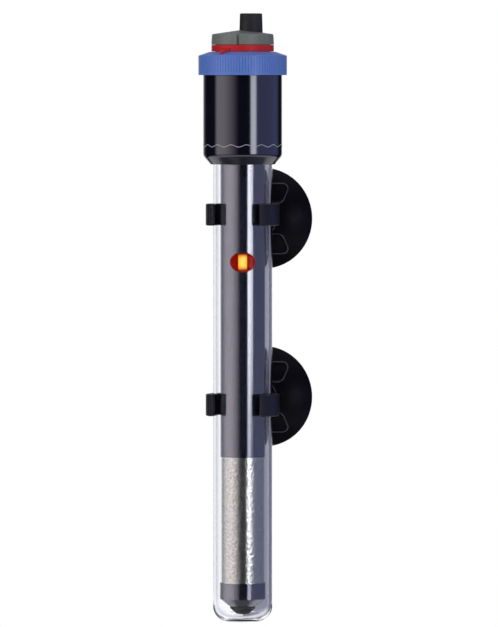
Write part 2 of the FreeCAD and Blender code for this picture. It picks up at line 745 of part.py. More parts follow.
def core_ends():
    """Foot and top of the ceramic core, which leave room for the wire's bends."""
    room = WIRE_RING_R * math.sin(math.pi / CORE_HOLES) + WIRE_W / 2 + WIRE_BEND_ROOM
    return (cartridge_foot_z + DISC_T + room, CARTRIDGE_TOP_Z - DISC_T - room)


def make_heating_core():
    """Ceramic rod with a ring of lengthwise holes for the coiled wire."""
    foot, top = core_ends()
    holes = []
    for i in range(CORE_HOLES):
        x, y = polar(WIRE_RING_R, 360.0 * i / CORE_HOLES)
        holes.append(rod(CORE_HOLE_R, foot - 1, top + 1, x, y))
    return rod(CORE_R, foot, top).cut(Part.makeCompound(holes))


def wire_bend(i, height, up):
    """Half ring that joins the wire's run i to the next run."""
    step = 360.0 / CORE_HOLES
    bend_r = WIRE_RING_R * math.sin(math.radians(step / 2))
    ring = pipe(bend_r + WIRE_W / 2, bend_r - WIRE_W / 2, 0, WIRE_W)
    ring = ring.common(block(-2 * bend_r, 2 * bend_r, 0, 2 * bend_r, 0, WIRE_W))
    ring.translate(V(0, 0, -WIRE_W / 2))
    ring.rotate(V(0, 0, 0), V(1, 0, 0), 90 if up else -90)
    middle = step * (i + 0.5)
    ring.rotate(V(0, 0, 0), Z, middle + 90)
    x, y = polar(WIRE_RING_R * math.cos(math.radians(step / 2)), middle)
    ring.translate(V(x, y, height))
    return ring


def make_heating_wire():
    """Coiled resistance wire, drawn as one bar laid up and down through the core's holes."""
    foot, top = core_ends()
    pieces = []
    for i in range(CORE_HOLES):
        x, y = polar(WIRE_RING_R, 360.0 * i / CORE_HOLES)
        run = centred(WIRE_W, -WIRE_W / 2, WIRE_W / 2, foot - WIRE_BEND_ROOM / 2, top + WIRE_BEND_ROOM / 2)
        run = turned(run, 360.0 * i / CORE_HOLES)
        run.translate(V(x, y, 0))
        pieces.append(run)
        if i < CORE_HOLES - 1:
            up = i % 2 == 0
            height = top + WIRE_BEND_ROOM / 2 if up else foot - WIRE_BEND_ROOM / 2
            pieces.append(wire_bend(i, height, up))
    return pieces[0].multiFuse(pieces[1:])


def make_bottom_cup():
    """Dark cup that holds the foot of the cartridge."""
    socket_r = CARTRIDGE_R + SEAT
    return revolved([
        (0, CUP_FOOT_Z), (CUP_FOOT_R, CUP_FOOT_Z), (CUP_TOP_R, CUP_SHOULDER_Z), (CUP_TOP_R, CUP_RIM_Z),
        (socket_r, CUP_RIM_Z), (socket_r, cartridge_foot_z), (0, cartridge_foot_z)])


def make_base_pad():
    """Soft pad between the cup and the glass foot."""
    foot = GLASS_FOOT + SEAT
    side = foot + PAD_TOP_R - PAD_FOOT_R
    return revolved([
        (0, foot), (PAD_FOOT_R, foot), (PAD_TOP_R, side), (PAD_TOP_R, CUP_FOOT_Z), (0, CUP_FOOT_Z)])


def make_clip(band_z, stud_z):
    """C-shaped clip round the glass with a boss and a headed stud towards the wall."""
    low = -CLIP_H / 2
    high = CLIP_H / 2
    section = [(clip_inner_r, low), (clip_outer_r - CLIP_EDGE, low), (clip_outer_r, low + CLIP_EDGE),
               (clip_outer_r, high - CLIP_EDGE), (clip_outer_r - CLIP_EDGE, high), (clip_inner_r, high)]
    band = turned(revolved(section, 360 - CLIP_OPENING), -90 + CLIP_OPENING / 2)
    tips = [e for e in band.Edges if abs(e.BoundBox.ZLength - CLIP_H) < 0.01]
    band = band.makeChamfer(CLIP_TIP_R, tips)
    out = V(0, 1, 0)
    rise = stud_z - band_z
    root_y = clip_inner_r + CLIP_T / 2
    neck_end = BOSS_OUT + STUD_NECK_L
    boss = Part.makeCylinder(BOSS_R, BOSS_OUT - root_y, V(0, root_y, rise), out)
    boss = boss.cut(rod(clip_inner_r, -CLIP_H, CLIP_H))
    neck = Part.makeCylinder(STUD_R, neck_end - root_y, V(0, root_y, rise), out)
    head = Part.makeCone(STUD_HEAD_R, STUD_TIP_R, STUD_HEAD_L, V(0, neck_end, rise), out)
    clip = joined([band, boss, neck, head])
    clip.translate(V(0, 0, band_z))
    return clip


def dome_points(lift):
    """Back of the suction cup from its rim to its neck, as (radius, height above the wall)."""
    rim = (SUCKER_R, SUCKER_RIM_T + lift)
    shoulder = (SUCKER_NECK_R + SUCKER_FILLET, SUCKER_DOME_H + lift)
    return arc_points(rim, shoulder, -SUCKER_BULGE, DOME_STEPS)


def pocket_solid(side):
    """Recess above or below the neck, a little wider away from it, with cut corners."""
    low = side * POCKET_LOW
    high = side * POCKET_HIGH
    wide = POCKET_X + POCKET_FLARE
    cut = side * POCKET_CORNER
    return prism([(-POCKET_X, low), (POCKET_X, low), (wide, high - cut), (wide - POCKET_CORNER, high),
                  (POCKET_CORNER - wide, high), (-wide, high - cut)], 0, 2 * SUCKER_DOME_H)


def make_suction_cup(centre_z):
    """Rubber cup with a thin lip, a hollow, a domed back with recesses and a socket for the stud."""
    top = WALL_DISTANCE - BOSS_OUT - FACE
    back = dome_points(0)
    lip = SUCKER_R - SUCKER_LIP_W
    neck_root = (SUCKER_NECK_R, SUCKER_DOME_H + SUCKER_FILLET)
    fillet = arc_points(back[-1], neck_root, QUARTER_BULGE * SUCKER_FILLET, FILLET_STEPS)
    hollow = arc_points((0, SUCKER_DEPTH), (lip, 0), SUCKER_HOLLOW_BULGE, HOLLOW_STEPS)
    cup = revolved([(SUCKER_R, 0)] + back + fillet[1:] + [(SUCKER_NECK_R, top), (0, top)] + hollow)
    below = dome_points(-POCKET_DEPTH)
    skin = revolved([(0, 0), (SUCKER_R, 0)] + below + [(0, below[-1][1])])
    for side in (-1, 1):
        cup = cup.cut(pocket_solid(side).cut(skin))
    head_foot = WALL_DISTANCE - stud_end_y
    neck_foot = head_foot + STUD_HEAD_L
    socket = rod(STUD_R + RUN, neck_foot, top + 1)
    head = Part.makeCone(STUD_TIP_R + RUN, STUD_HEAD_R + RUN, STUD_HEAD_L, V(0, 0, head_foot), Z)
    head_room = rod(STUD_HEAD_R + RUN, neck_foot, neck_foot + RUN)
    cup = cup.cut(joined([socket, head, head_room, rod(STUD_TIP_R + RUN, head_foot - RUN, head_foot)]))
    cup.rotate(V(0, 0, 0), V(1, 0, 0), 90)
    cup.translate(V(0, WALL_DISTANCE, centre_z))
    return cup


def main():
    os.makedirs("parts", exist_ok=True)
    heater = {
        "glass_tube": make_glass_tube(),
        "head_housing": make_head_housing(),
        "tube_seal": make_tube_seal(),
        "top_cap": make_top_cap(),
        "cable_boot": make_cable_boot(),
        "adjusting_ring": make_adjusting_ring(),
        "calibration_ring": make_calibration_ring(),
        "drive_pinion": make_drive_pinion(),
        "adjusting_spindle": make_adjusting_spindle(),
        "spindle_bush": make_spindle_bush(),
        "spindle_seal": make_spindle_seal(),
        "setting_nut": make_setting_nut(),
        "setting_rod": make_setting_rod(),
        "thermostat_frame": make_thermostat_frame(),
        "thermostat_sleeve": make_thermostat_sleeve(),
        "bimetal_clamp": make_bimetal_clamp(),
        "clamp_rivets": make_clamp_rivets(),
        "bimetal_strip": make_bimetal_strip(),
        "moving_contact": make_moving_contact(),
        "contact_bracket": make_contact_bracket(),
        "fixed_contact": make_fixed_contact(),
        "snap_magnet": make_snap_magnet(),
        "suppressor_capacitor": make_suppressor_capacitor(),
        "lamp_pocket": make_lamp_pocket(),
        "neon_lamp": make_neon_lamp(),
        "lamp_resistor": make_lamp_resistor(),
        "supply_terminals": make_supply_terminals(),
        "heater_leads": make_heater_leads(),
        "cartridge_shell": make_cartridge_shell(),
        "heating_core": make_heating_core(),
        "heating_wire": make_heating_wire(),
        "upper_end_disc": make_end_disc(CARTRIDGE_TOP_Z, True),
        "lower_end_disc": make_end_disc(cartridge_foot_z + DISC_T, False),
        "bottom_cup": make_bottom_cup(),
        "base_pad": make_base_pad(),
    }
    for node, shape in heater.items():
        save_heater(node, shape)
    save("clip_upper", make_clip(CLIP_UPPER_Z, cup_upper_z))
    save("clip_lower", make_clip(CLIP_LOWER_Z, cup_lower_z))
    save("suction_cup_upper", make_suction_cup(cup_upper_z))
    save("suction_cup_lower", make_suction_cup(cup_lower_z))


main()
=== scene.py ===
import bpy
import json
import math

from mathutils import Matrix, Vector


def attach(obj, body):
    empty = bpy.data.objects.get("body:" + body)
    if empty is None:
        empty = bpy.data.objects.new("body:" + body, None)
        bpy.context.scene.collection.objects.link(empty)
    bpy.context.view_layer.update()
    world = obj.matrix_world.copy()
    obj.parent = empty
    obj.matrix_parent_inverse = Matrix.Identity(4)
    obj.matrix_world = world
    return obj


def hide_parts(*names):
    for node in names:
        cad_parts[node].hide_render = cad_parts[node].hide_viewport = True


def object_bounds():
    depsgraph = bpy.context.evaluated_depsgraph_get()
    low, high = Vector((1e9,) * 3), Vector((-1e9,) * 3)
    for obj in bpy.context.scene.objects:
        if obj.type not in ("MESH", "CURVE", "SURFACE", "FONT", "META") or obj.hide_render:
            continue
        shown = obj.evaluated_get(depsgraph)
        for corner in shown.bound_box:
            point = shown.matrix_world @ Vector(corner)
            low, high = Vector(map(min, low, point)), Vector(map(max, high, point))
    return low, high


# Submersible aquarium heater on two suction cups.
# Profiles are in millimetres in the heater's own frame: the tube's axis is Z, the glass tip is at height 0
# and the front is -Y. at_heater() turns them in the clips and moves them to the row's frame, in metres.

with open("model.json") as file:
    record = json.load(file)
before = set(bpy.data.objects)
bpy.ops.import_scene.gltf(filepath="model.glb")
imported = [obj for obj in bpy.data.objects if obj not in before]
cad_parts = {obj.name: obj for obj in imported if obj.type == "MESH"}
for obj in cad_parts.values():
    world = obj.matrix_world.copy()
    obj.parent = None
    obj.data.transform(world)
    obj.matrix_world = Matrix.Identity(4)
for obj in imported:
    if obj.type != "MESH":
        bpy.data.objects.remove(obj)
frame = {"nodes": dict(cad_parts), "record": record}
cad_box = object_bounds()

MM = 0.001
TURN_IN_CLIPS = math.radians(16)
WALL_DISTANCE = 30.5
WALL_MID_Z = 123.15

# Camera and studio, in metres; the sensor and the point aimed at are in millimetres
CAMERA_AZIMUTH = math.radians(16)
CAMERA_ELEVATION = math.radians(2)
CAMERA_DISTANCE = 2.5
FRAME_HEIGHT = 0.2475
SENSOR = 36.0
AIM_RIGHT = 2.5
AIM_UP = -1.5
LAMP_DISTANCE = 1.6
FLOOR_HALF = 4.0
FLOOR_DROP = 0.06

# Fineness of the meshes
SEGMENTS = 160
CUP_SEGMENTS = 288
STUD_SEGMENTS = 96
GLASS_STEPS = 24
CUP_BACK_STEPS = 64
CLIP_STEPS = 120
CLIP_END_STEPS = 8
CREASE = 35

# Glass tube, in millimetres; its index rises from the foot's to the plain one between the two heights
TUBE_R = 11.7
GLASS_INNER_R = 10.5
GLASS_TOP_Z = 198.0
GLASS_FOOT_T = 2.0
GLASS_FOOT_R = 9.3
GLASS_HOLLOW_R = 8.1
GLASS_FOOT_Z = 8.0
GLASS_PLAIN_Z = 10.5
GLASS_IOR = 1.47
GLASS_FOOT_IOR = 1.25

# Head housing with its neck, in millimetres
HEAD_R = 15.6
HEAD_INNER_R = 13.8
HEAD_FOOT_R = 12.7
HEAD_HOLE_R = 11.75
HEAD_FOOT_Z = 180.5
HEAD_SHOULDER_Z = 183.9
HEAD_SHELF_Z = 185.9
HEAD_CEILING_Z = 213.7
HEAD_TOP_Z = 216.2
NECK_R = 8.0
NECK_INNER_R = 6.8
NECK_TOP_Z = 229.8

# Middle of the lamp, in metres above the origin, and how fast its glow falls off along it
LAMP_Z = 0.01895
LAMP_FALLOFF = 200

# Wavy line printed round the housing, in millimetres
WAVE_Z = 187.9
WAVE_HEIGHT = 0.45
WAVE_COUNT = 16
WAVE_WIDTH = 0.26
WAVE_STEPS = 720
FILM_LIFT = 0.02

# Clips with boss and stud, in millimetres, the opening in degrees; the height is from the middle
# between the cups, and boss and stud reach towards the wall from the tube's axis
CLIP_Z = 37.55
CLIP_INNER_R = 11.78
CLIP_T = 2.8
CLIP_HALF_H = 4.3
CLIP_HALF_OPENING = 47.5
CLIP_END_R = 1.1
CLIP_END_TAPER = 0.4
CLIP_EDGE = 0.5
BOSS_R = 4.7
BOSS_ROOT = 13.0
BOSS_END = 17.0
STUD_R = 2.5
STUD_NECK_END = 19.4
STUD_HEAD_R = 3.6
STUD_TIP_R = 2.0
STUD_END = 22.0

# Suction cups, in millimetres; heights are from the wall, apart from that of the cup's middle
CUP_Z = 35.55
CUP_R = 20.1
CUP_LIP_H = 0.9
CUP_LIP_EDGE = 0.15
CUP_BULGE = 1.3
CUP_NECK_R = 5.6
CUP_FILLET = 1.4
CUP_DOME_H = 8.6
CUP_TOP_H = 13.2
CUP_TOP_EDGE = 0.6
CUP_HOLLOW_R = 18.5
CUP_HOLLOW_H = 6.0
SOCKET_MOUTH_R = 2.55
SOCKET_R = 3.65
SOCKET_TIP_R = 2.05
SOCKET_STEP_H = 11.1
SOCKET_WIDE_H = 11.0
SOCKET_FOOT_H = 8.5

# Recesses in the cup's back, above and below the neck, and the raised lines on it, which carry a painted
# highlight
POCKET_DEPTH = 0.6
POCKET_FOOT = 6.1
POCKET_HEAD = 14.0
POCKET_HALF_W = 9.7
POCKET_FLARE = 2.4
POCKET_CORNER = 2.4
POCKET_WALL = 1.1
BEAD_R = 0.2
BEAD_SIDES = 8
BEAD_STEP = 0.6
BEAD_RING_R = 7.5


def at_heater(x, y, z):
    """Row position in metres of a point of the heater's frame."""
    c, s = math.cos(TURN_IN_CLIPS), math.sin(TURN_IN_CLIPS)
    return (MM * (x * c - y * s), MM * (x * s + y * c - WALL_DISTANCE), MM * (z - WALL_MID_Z))


def new_piece(name, verts, faces, body, slot, replaced=()):
    """Smooth mesh object that rides on a body; its slot argument is not used."""
    mesh = bpy.data.meshes.new(name)
    mesh.from_pydata(verts, [], faces)
    mesh.validate()
    mesh.shade_smooth()
    mesh.set_sharp_from_angle(angle=math.radians(CREASE))
    piece = bpy.data.objects.new(name, mesh)
    bpy.context.scene.collection.objects.link(piece)
    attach(piece, body)
    if replaced:
        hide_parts(*replaced)
    return piece


def rounded(points, radii, steps=5, closed=True):
    """Outline with its corners rounded; radii has one radius for each point."""
    result = []
    count = len(points)
    for i, (x, y) in enumerate(points):
        radius = radii[i]
        if radius == 0 or (not closed and i in (0, count - 1)):
            result.append((x, y))
            continue
        ax, ay = points[i - 1]
        bx, by = points[(i + 1) % count]
        la, lb = math.hypot(ax - x, ay - y), math.hypot(bx - x, by - y)
        ua, ub = ((ax - x) / la, (ay - y) / la), ((bx - x) / lb, (by - y) / lb)
        half = math.acos(max(-1, min(1, ua[0] * ub[0] + ua[1] * ub[1]))) / 2
        back = min(radius / math.tan(half), 0.49 * la, 0.49 * lb)
        start = (x + ua[0] * back, y + ua[1] * back)
        end = (x + ub[0] * back, y + ub[1] * back)
        for k in range(steps + 1):
            t = k / steps
            w0, w1, w2 = (1 - t) ** 2, 2 * t * (1 - t) * math.sin(half), t ** 2
            total = w0 + w1 + w2
            result.append(((w0 * start[0] + w1 * x + w2 * end[0]) / total,
                           (w0 * start[1] + w1 * y + w2 * end[1]) / total))
    return result


def lathe(outline, segments=SEGMENTS, place=at_heater):
    """Vertices and faces of a closed (radius, height) outline turned about its axis."""
    verts = []
    rings = []
    for radius, height in outline:
        if radius < 1e-6:
            rings.append([len(verts)])
            verts.append(place(0.0, 0.0, height))
            continue
        ring = []
        for i in range(segments):
            angle = 2 * math.pi * i / segments
            ring.append(len(verts))
            verts.append(place(radius * math.cos(angle), radius * math.sin(angle), height))
        rings.append(ring)
    faces = []
    for a, b in zip(rings, rings[1:] + rings[:1]):
        if len(a) == 1 and len(b) == 1:
            continue
        for i in range(segments):
            j = (i + 1) % segments
            if len(a) == 1:
                faces.append((a[0], b[j], b[i]))
            elif len(b) == 1:
                faces.append((a[i], a[j], b[0]))
            else:
                faces.append((a[i], a[j], b[j], b[i]))
    return verts, faces


# Materials

class Surface:
    """A node material with one main shader; its methods add detail in object space."""

    def __init__(self, name, colour, rough, **inputs):
        self.material = bpy.data.materials.new(name)
        self.material.use_nodes = True
        self.tree = self.material.node_tree
        self.tree.nodes.clear()
        self.out = self.add("ShaderNodeOutputMaterial")
        self.shader = self.add("ShaderNodeBsdfPrincipled")
        self.shader.inputs["Base Color"].default_value = (*colour, 1)
        self.shader.inputs["Roughness"].default_value = rough
        for key, value in inputs.items():
            self.shader.inputs[key.replace("_", " ")].default_value = value
        self.link(self.shader, 0, self.out, 0)
        self.colour = colour
        self.coords = self.add("ShaderNodeTexCoord")

    def add(self, kind, **values):
        node = self.tree.nodes.new(kind)
        for key, value in values.items():
            setattr(node, key, value)
        return node

    def link(self, a, a_socket, b, b_socket):
        self.tree.links.new(a.outputs[a_socket], b.inputs[b_socket])

    def noise(self, scale, detail=3.0, stretch=(1, 1, 1)):
        """Noise in object space; scale is in cells per metre."""
        mapping = self.add("ShaderNodeMapping")
        mapping.inputs["Scale"].default_value = stretch
        noise = self.add("ShaderNodeTexNoise")
        noise.inputs["Scale"].default_value = scale
        noise.inputs["Detail"].default_value = detail
        self.link(self.coords, "Object", mapping, 0)
        self.link(mapping, 0, noise, "Vector")
        return noise

    def ramp(self, source, socket, stops):
        """Colour ramp over a source's socket; stops are (position, value or colour)."""
        ramp = self.add("ShaderNodeValToRGB")
        elements = ramp.color_ramp.elements
        while len(elements) < len(stops):
            elements.new(1.0)
        for element, (position, value) in zip(elements, stops):
            element.position = position
            element.color = (*value, 1) if isinstance(value, tuple) else (value, value, value, 1)
        self.link(source, socket, ramp, 0)
        return ramp

    def mottle(self, scale, low, high, stretch=(1, 1, 1)):
        """Vary the colour between low and high times itself."""
        stops = [(0.35, tuple(low * c for c in self.colour)), (0.65, tuple(high * c for c in self.colour))]
        ramp = self.ramp(self.noise(scale, stretch=stretch), 0, stops)
        self.link(ramp, 0, self.shader, "Base Color")
        return self

    def polish(self, scale, low, high, stretch=(1, 1, 1)):
        """Vary the roughness between two values, as handling and moulding leave it."""
        ramp = self.ramp(self.noise(scale, 4.0, stretch), 0, [(0.3, low), (0.7, high)])
        self.link(ramp, 0, self.shader, "Roughness")
        return self

    def grain(self, scale, strength, distance, stretch=(1, 1, 1), detail=3.0):
        """Fine relief, in metres of height."""
        bump = self.add("ShaderNodeBump")
        bump.inputs["Strength"].default_value = strength
        bump.inputs["Distance"].default_value = distance
        self.link(self.noise(scale, detail, stretch), 0, bump, "Height")
        self.link(bump, 0, self.shader, "Normal")
        return self


def plastic(name, colour, rough, grain=0.3, **inputs):
    surface = Surface(name, colour, rough, **inputs)
    return surface.mottle(900, 0.94, 1.06).polish(700, rough * 0.85, rough * 1.2).grain(6000, grain, 2e-5)


def rubber(name, colour, rough, **inputs):
    surface = Surface(name, colour, rough, **inputs)
    return surface.mottle(500, 0.9, 1.12).polish(400, rough * 0.9, rough * 1.15).grain(4000, 0.5, 2e-5)


def metal(name, colour, rough, stretch=(1, 1, 0.08)):
    surface = Surface(name, colour, rough, Metallic=1.0)
    surface.mottle(2500, 0.9, 1.05, stretch=stretch).polish(3000, rough * 0.7, rough * 1.3, stretch)
    return surface.grain(9000, 0.25, 1e-5, stretch)


def ceramic(name, colour, rough):
    surface = Surface(name, colour, rough)
    return surface.mottle(1500, 0.9, 1.05).polish(900, rough * 0.9, rough * 1.1).grain(5000, 0.5, 3e-5)


def clear_glass():
    """Glass that lets lamp light through unbent, and bends sight less in its thick foot than in the tube."""
    surface = Surface("clear_glass", (0.97, 0.98, 1.0), 0.0, Transmission_Weight=1.0,
                      IOR=GLASS_IOR, Specular_Tint=(0.1, 0.1, 0.1, 1))
    surface.polish(300, 0.0, 0.006, (1, 1, 0.1))
    parts = surface.add("ShaderNodeSeparateXYZ")
    surface.link(surface.coords, "Object", parts, 0)
    bend = surface.add("ShaderNodeMapRange")
    bend.inputs["From Min"].default_value = MM * (GLASS_FOOT_Z - WALL_MID_Z)
    bend.inputs["From Max"].default_value = MM * (GLASS_PLAIN_Z - WALL_MID_Z)
    bend.inputs["To Min"].default_value = GLASS_FOOT_IOR
    bend.inputs["To Max"].default_value = GLASS_IOR
    surface.link(parts, 2, bend, 0)
    surface.link(bend, 0, surface.shader, "IOR")
    clear = surface.add("ShaderNodeBsdfTransparent")
    clear.inputs[0].default_value = (0.93, 0.94, 0.95, 1)
    rays = surface.add("ShaderNodeLightPath")
    mix = surface.add("ShaderNodeMixShader")
    surface.link(rays, "Is Shadow Ray", mix, 0)
    surface.link(surface.shader, 0, mix, 1)
    surface.link(clear, 0, mix, 2)
    surface.link(mix, 0, surface.out, 0)
    return surface


def cartridge_cream():
    """Cream, half-glossy sleeve of sintered grains, whose bumps break up what it reflects."""
    surface = Surface("cartridge_cream", (0.73, 0.73, 0.62), 0.2, Metallic=1.0)
    speckle = surface.ramp(surface.noise(1300, 6.0), 0, [
        (0.30, (0.58, 0.57, 0.47)), (0.45, (0.73, 0.73, 0.62)), (0.60, (0.80, 0.79, 0.68)),
        (0.78, (0.95, 0.93, 0.82))])
    surface.link(speckle, 0, surface.shader, "Base Color")
    return surface.grain(800, 1.0, 1.2e-4, detail=5.0)


def lamp_glow(centre_z):
    """Glowing lamp: bright yellow middle, orange edges and dark ends."""
    surface = Surface("lamp_glow", (0.25, 0.05, 0.02), 0.2, Emission_Strength=1.0)
    parts = surface.add("ShaderNodeSeparateXYZ")
    surface.link(surface.coords, "Object", parts, 0)
    from_middle = surface.add("ShaderNodeMath", operation="SUBTRACT")
    from_middle.inputs[1].default_value = centre_z
    surface.link(parts, 2, from_middle, 0)
    along = surface.add("ShaderNodeMath", operation="ABSOLUTE")
    surface.link(from_middle, 0, along, 0)
    scaled = surface.add("ShaderNodeMath", operation="MULTIPLY")
    scaled.inputs[1].default_value = LAMP_FALLOFF
    surface.link(along, 0, scaled, 0)
    ends = surface.ramp(scaled, 0, [(0.30, (1, 1, 1)), (0.48, (0.85, 0.45, 0.3)), (0.64, (0.03, 0.003, 0.0))])
    edge = surface.add("ShaderNodeLayerWeight")
    edge.inputs[0].default_value = 0.5
    glow = surface.ramp(edge, "Facing", [
        (0.0, (1.0, 0.72, 0.09)), (0.4, (1.0, 0.56, 0.04)), (0.75, (0.85, 0.2, 0.01)),
        (0.97, (0.4, 0.03, 0.0))])
    mix = surface.add("ShaderNodeMix", data_type="RGBA", blend_type="MULTIPLY")
    mix.inputs[0].default_value = 1.0
    surface.link(glow, 0, mix, 6)
    surface.link(ends, 0, mix, 7)
    surface.link(mix, 2, surface.shader, "Emission Color")
    return surface


def lamp_red():
    """Red trough that glows a little from the lamp that stands in it."""
    surface = plastic("lamp_red", (0.10, 0.002, 0.002), 0.6, Emission_Strength=1.0, Specular_IOR_Level=0.0)
    glow = surface.ramp(surface.noise(500, 2.0), 0, [(0.3, (0.10, 0.001, 0.0)), (0.7, (0.22, 0.004, 0.001))])
    surface.link(glow, 0, surface.shader, "Emission Color")
    return surface


SURFACES = {
    "clear_glass": clear_glass(),
    "housing_black": plastic("housing_black", (0.003, 0.003, 0.008), 0.1, 0.02, IOR=1.8),
    "seal_rubber": rubber("seal_rubber", (0.02, 0.02, 0.022), 0.6),
    "cap_grey": plastic("cap_grey", (0.125, 0.135, 0.125), 0.42, 0.6),
    "boot_rubber": rubber("boot_rubber", (0.012, 0.012, 0.011), 0.55),
    "ring_blue": plastic("ring_blue", (0.072, 0.15, 0.46), 0.42, 0.5, IOR=1.62),
    "pointer_red": plastic("pointer_red", (0.42, 0.011, 0.016), 0.4, 0.3, Specular_IOR_Level=0.3),
    "print_grey": plastic("print_grey", (0.30, 0.30, 0.34), 0.5),
    "gear_white": plastic("gear_white", (0.75, 0.74, 0.70), 0.45),
    "steel": metal("steel", (0.56, 0.56, 0.55), 0.28),
    "brass": metal("brass", (0.72, 0.48, 0.18), 0.3),
    "frame_plastic": plastic("frame_plastic", (0.30, 0.22, 0.14), 0.5),
    "sleeve_dark": plastic("sleeve_dark", (0.004, 0.005, 0.013), 0.12, 0.03, IOR=3.43),
    "bimetal": metal("bimetal", (0.5, 0.47, 0.42), 0.35),
    "contact_silver": metal("contact_silver", (0.8, 0.8, 0.78), 0.2),
    "magnet_dark": metal("magnet_dark", (0.12, 0.12, 0.13), 0.45),
    "capacitor_blue": plastic("capacitor_blue", (0.03, 0.11, 0.35), 0.35),
    "lamp_red": lamp_red(),
    "lamp_glow": lamp_glow(LAMP_Z),
    "resistor_tan": plastic("resistor_tan", (0.5, 0.36, 0.2), 0.4),
    "lead_white": rubber("lead_white", (0.7, 0.69, 0.66), 0.5),
    "cartridge_cream": cartridge_cream(),
    "core_ceramic": ceramic("core_ceramic", (0.72, 0.69, 0.62), 0.75),
    "heating_alloy": metal("heating_alloy", (0.42, 0.40, 0.38), 0.45),
    "pad_rubber": rubber("pad_rubber", (0.03, 0.03, 0.032), 0.7),
    "clip_black": plastic("clip_black", (0.004, 0.004, 0.008), 0.42, 0.4, Specular_IOR_Level=0.35),
    "cup_rubber": rubber("cup_rubber", (0.0015, 0.001, 0.003), 0.4, Specular_IOR_Level=0.1),
    # Lighter rubber of the cup's beads: a painted highlight along the recess edges and round the neck's foot
    "cup_lines": rubber("cup_lines", (0.035, 0.035, 0.05), 0.3),
}


def dress(piece, slot):
    """Give a piece the surface of its slot, and no other."""
    piece.data.materials.clear()
    piece.data.materials.append(SURFACES[slot].material)
    return piece


for part in frame["record"]["subparts"]:
    dress(frame["nodes"][part["node"]], part["material_slot"])


# Pieces that stand for CAD nodes

def glass_outline():
    """Closed outline of the tube's wall, with its thick round foot and a fire-polished rim."""
    outer = rounded([(0, 0), (TUBE_R, 0), (TUBE_R, GLASS_TOP_Z)],
                    [0, GLASS_FOOT_R, 0], steps=GLASS_STEPS, closed=False)
    inner = rounded([(GLASS_INNER_R, GLASS_TOP_Z), (GLASS_INNER_R, GLASS_FOOT_T), (0, GLASS_FOOT_T)],
                    [0, GLASS_HOLLOW_R, 0], steps=GLASS_STEPS, closed=False)
    return outer + inner


def head_outline():
    """Housing with a soft shoulder at its foot, the neck on top and the room inside."""
    points = [
        (HEAD_HOLE_R, HEAD_FOOT_Z), (HEAD_FOOT_R, HEAD_FOOT_Z), (HEAD_R, HEAD_SHOULDER_Z),
        (HEAD_R, HEAD_TOP_Z), (NECK_R, HEAD_TOP_Z), (NECK_R, NECK_TOP_Z), (NECK_INNER_R, NECK_TOP_Z),
        (NECK_INNER_R, HEAD_CEILING_Z), (HEAD_INNER_R, HEAD_CEILING_Z), (HEAD_INNER_R, HEAD_SHELF_Z),
        (HEAD_HOLE_R, HEAD_SHELF_Z)]
    return rounded(points, [0, 0.7, 2.6, 0.3, 0, 0.2, 0, 0, 0, 0, 0], steps=8)


def wavy_line():
    """Thin printed line round the housing, as a film just proud of it."""
    film_r = HEAD_R + FILM_LIFT
    verts, faces = [], []
    for i in range(WAVE_STEPS):
        angle = 2 * math.pi * i / WAVE_STEPS
        middle = WAVE_Z + WAVE_HEIGHT * math.sin(WAVE_COUNT * angle)
        for side in (-1, 1):
            verts.append(at_heater(film_r * math.cos(angle), film_r * math.sin(angle),
                                   middle + side * WAVE_WIDTH / 2))
        j = (i + 1) % WAVE_STEPS
        faces.append((2 * i, 2 * j, 2 * j + 1, 2 * i + 1))
    return verts, faces


def arc(a, b, bulge, steps):
    """Points along the arc from a to b that stands bulge to the right of the line between them."""
    length = math.hypot(b[0] - a[0], b[1] - a[1])
    radius = (length ** 2 / 4 + bulge ** 2) / (2 * bulge)
    half = math.asin(length / 2 / radius)
    ux, uy = (b[0] - a[0]) / length, (b[1] - a[1]) / length
    mx, my = (a[0] + b[0]) / 2, (a[1] + b[1]) / 2
    points = []
    for i in range(steps + 1):
        angle = -half + 2 * half * i / steps
        along = radius * math.sin(angle)
        out = radius * math.cos(angle) - (radius - bulge)
        points.append((mx + ux * along + uy * out, my + uy * along - ux * out))
    return points


def smooth_step(value, width):
    """Soft rise from 0 to 1 as the value goes from 0 to the width."""
    t = max(0.0, min(1.0, value / width))
    return t * t * (3 - 2 * t)


def pocket(x, z):
    """Depth of the recesses above and below the cup's neck, with round corners and soft edges."""
    up = abs(z)
    low, high = up - POCKET_FOOT, POCKET_HEAD - up
    side = POCKET_HALF_W + POCKET_FLARE * low / (POCKET_HEAD - POCKET_FOOT) - abs(x)
    reach = min(side, low, high)
    for other in (low, high):
        if side < POCKET_CORNER and other < POCKET_CORNER:
            reach = min(reach, POCKET_CORNER - math.hypot(POCKET_CORNER - side, POCKET_CORNER - other))
    return POCKET_DEPTH * smooth_step(reach, POCKET_WALL)


def cup_back():
    """Profile of the cup's domed back, from the lip to the neck's fillet."""
    return arc((CUP_R, CUP_LIP_H), (CUP_NECK_R + CUP_FILLET, CUP_DOME_H), CUP_BULGE, CUP_BACK_STEPS)


def back_height(radius):
    """Height of the cup's back above the wall, at a distance from the cup's axis."""
    points = cup_back()
    for (r0, h0), (r1, h1) in zip(points, points[1:]):
        if r1 <= radius <= r0:
            return h0 + (h1 - h0) * (r0 - radius) / (r0 - r1)
    return points[-1][1]


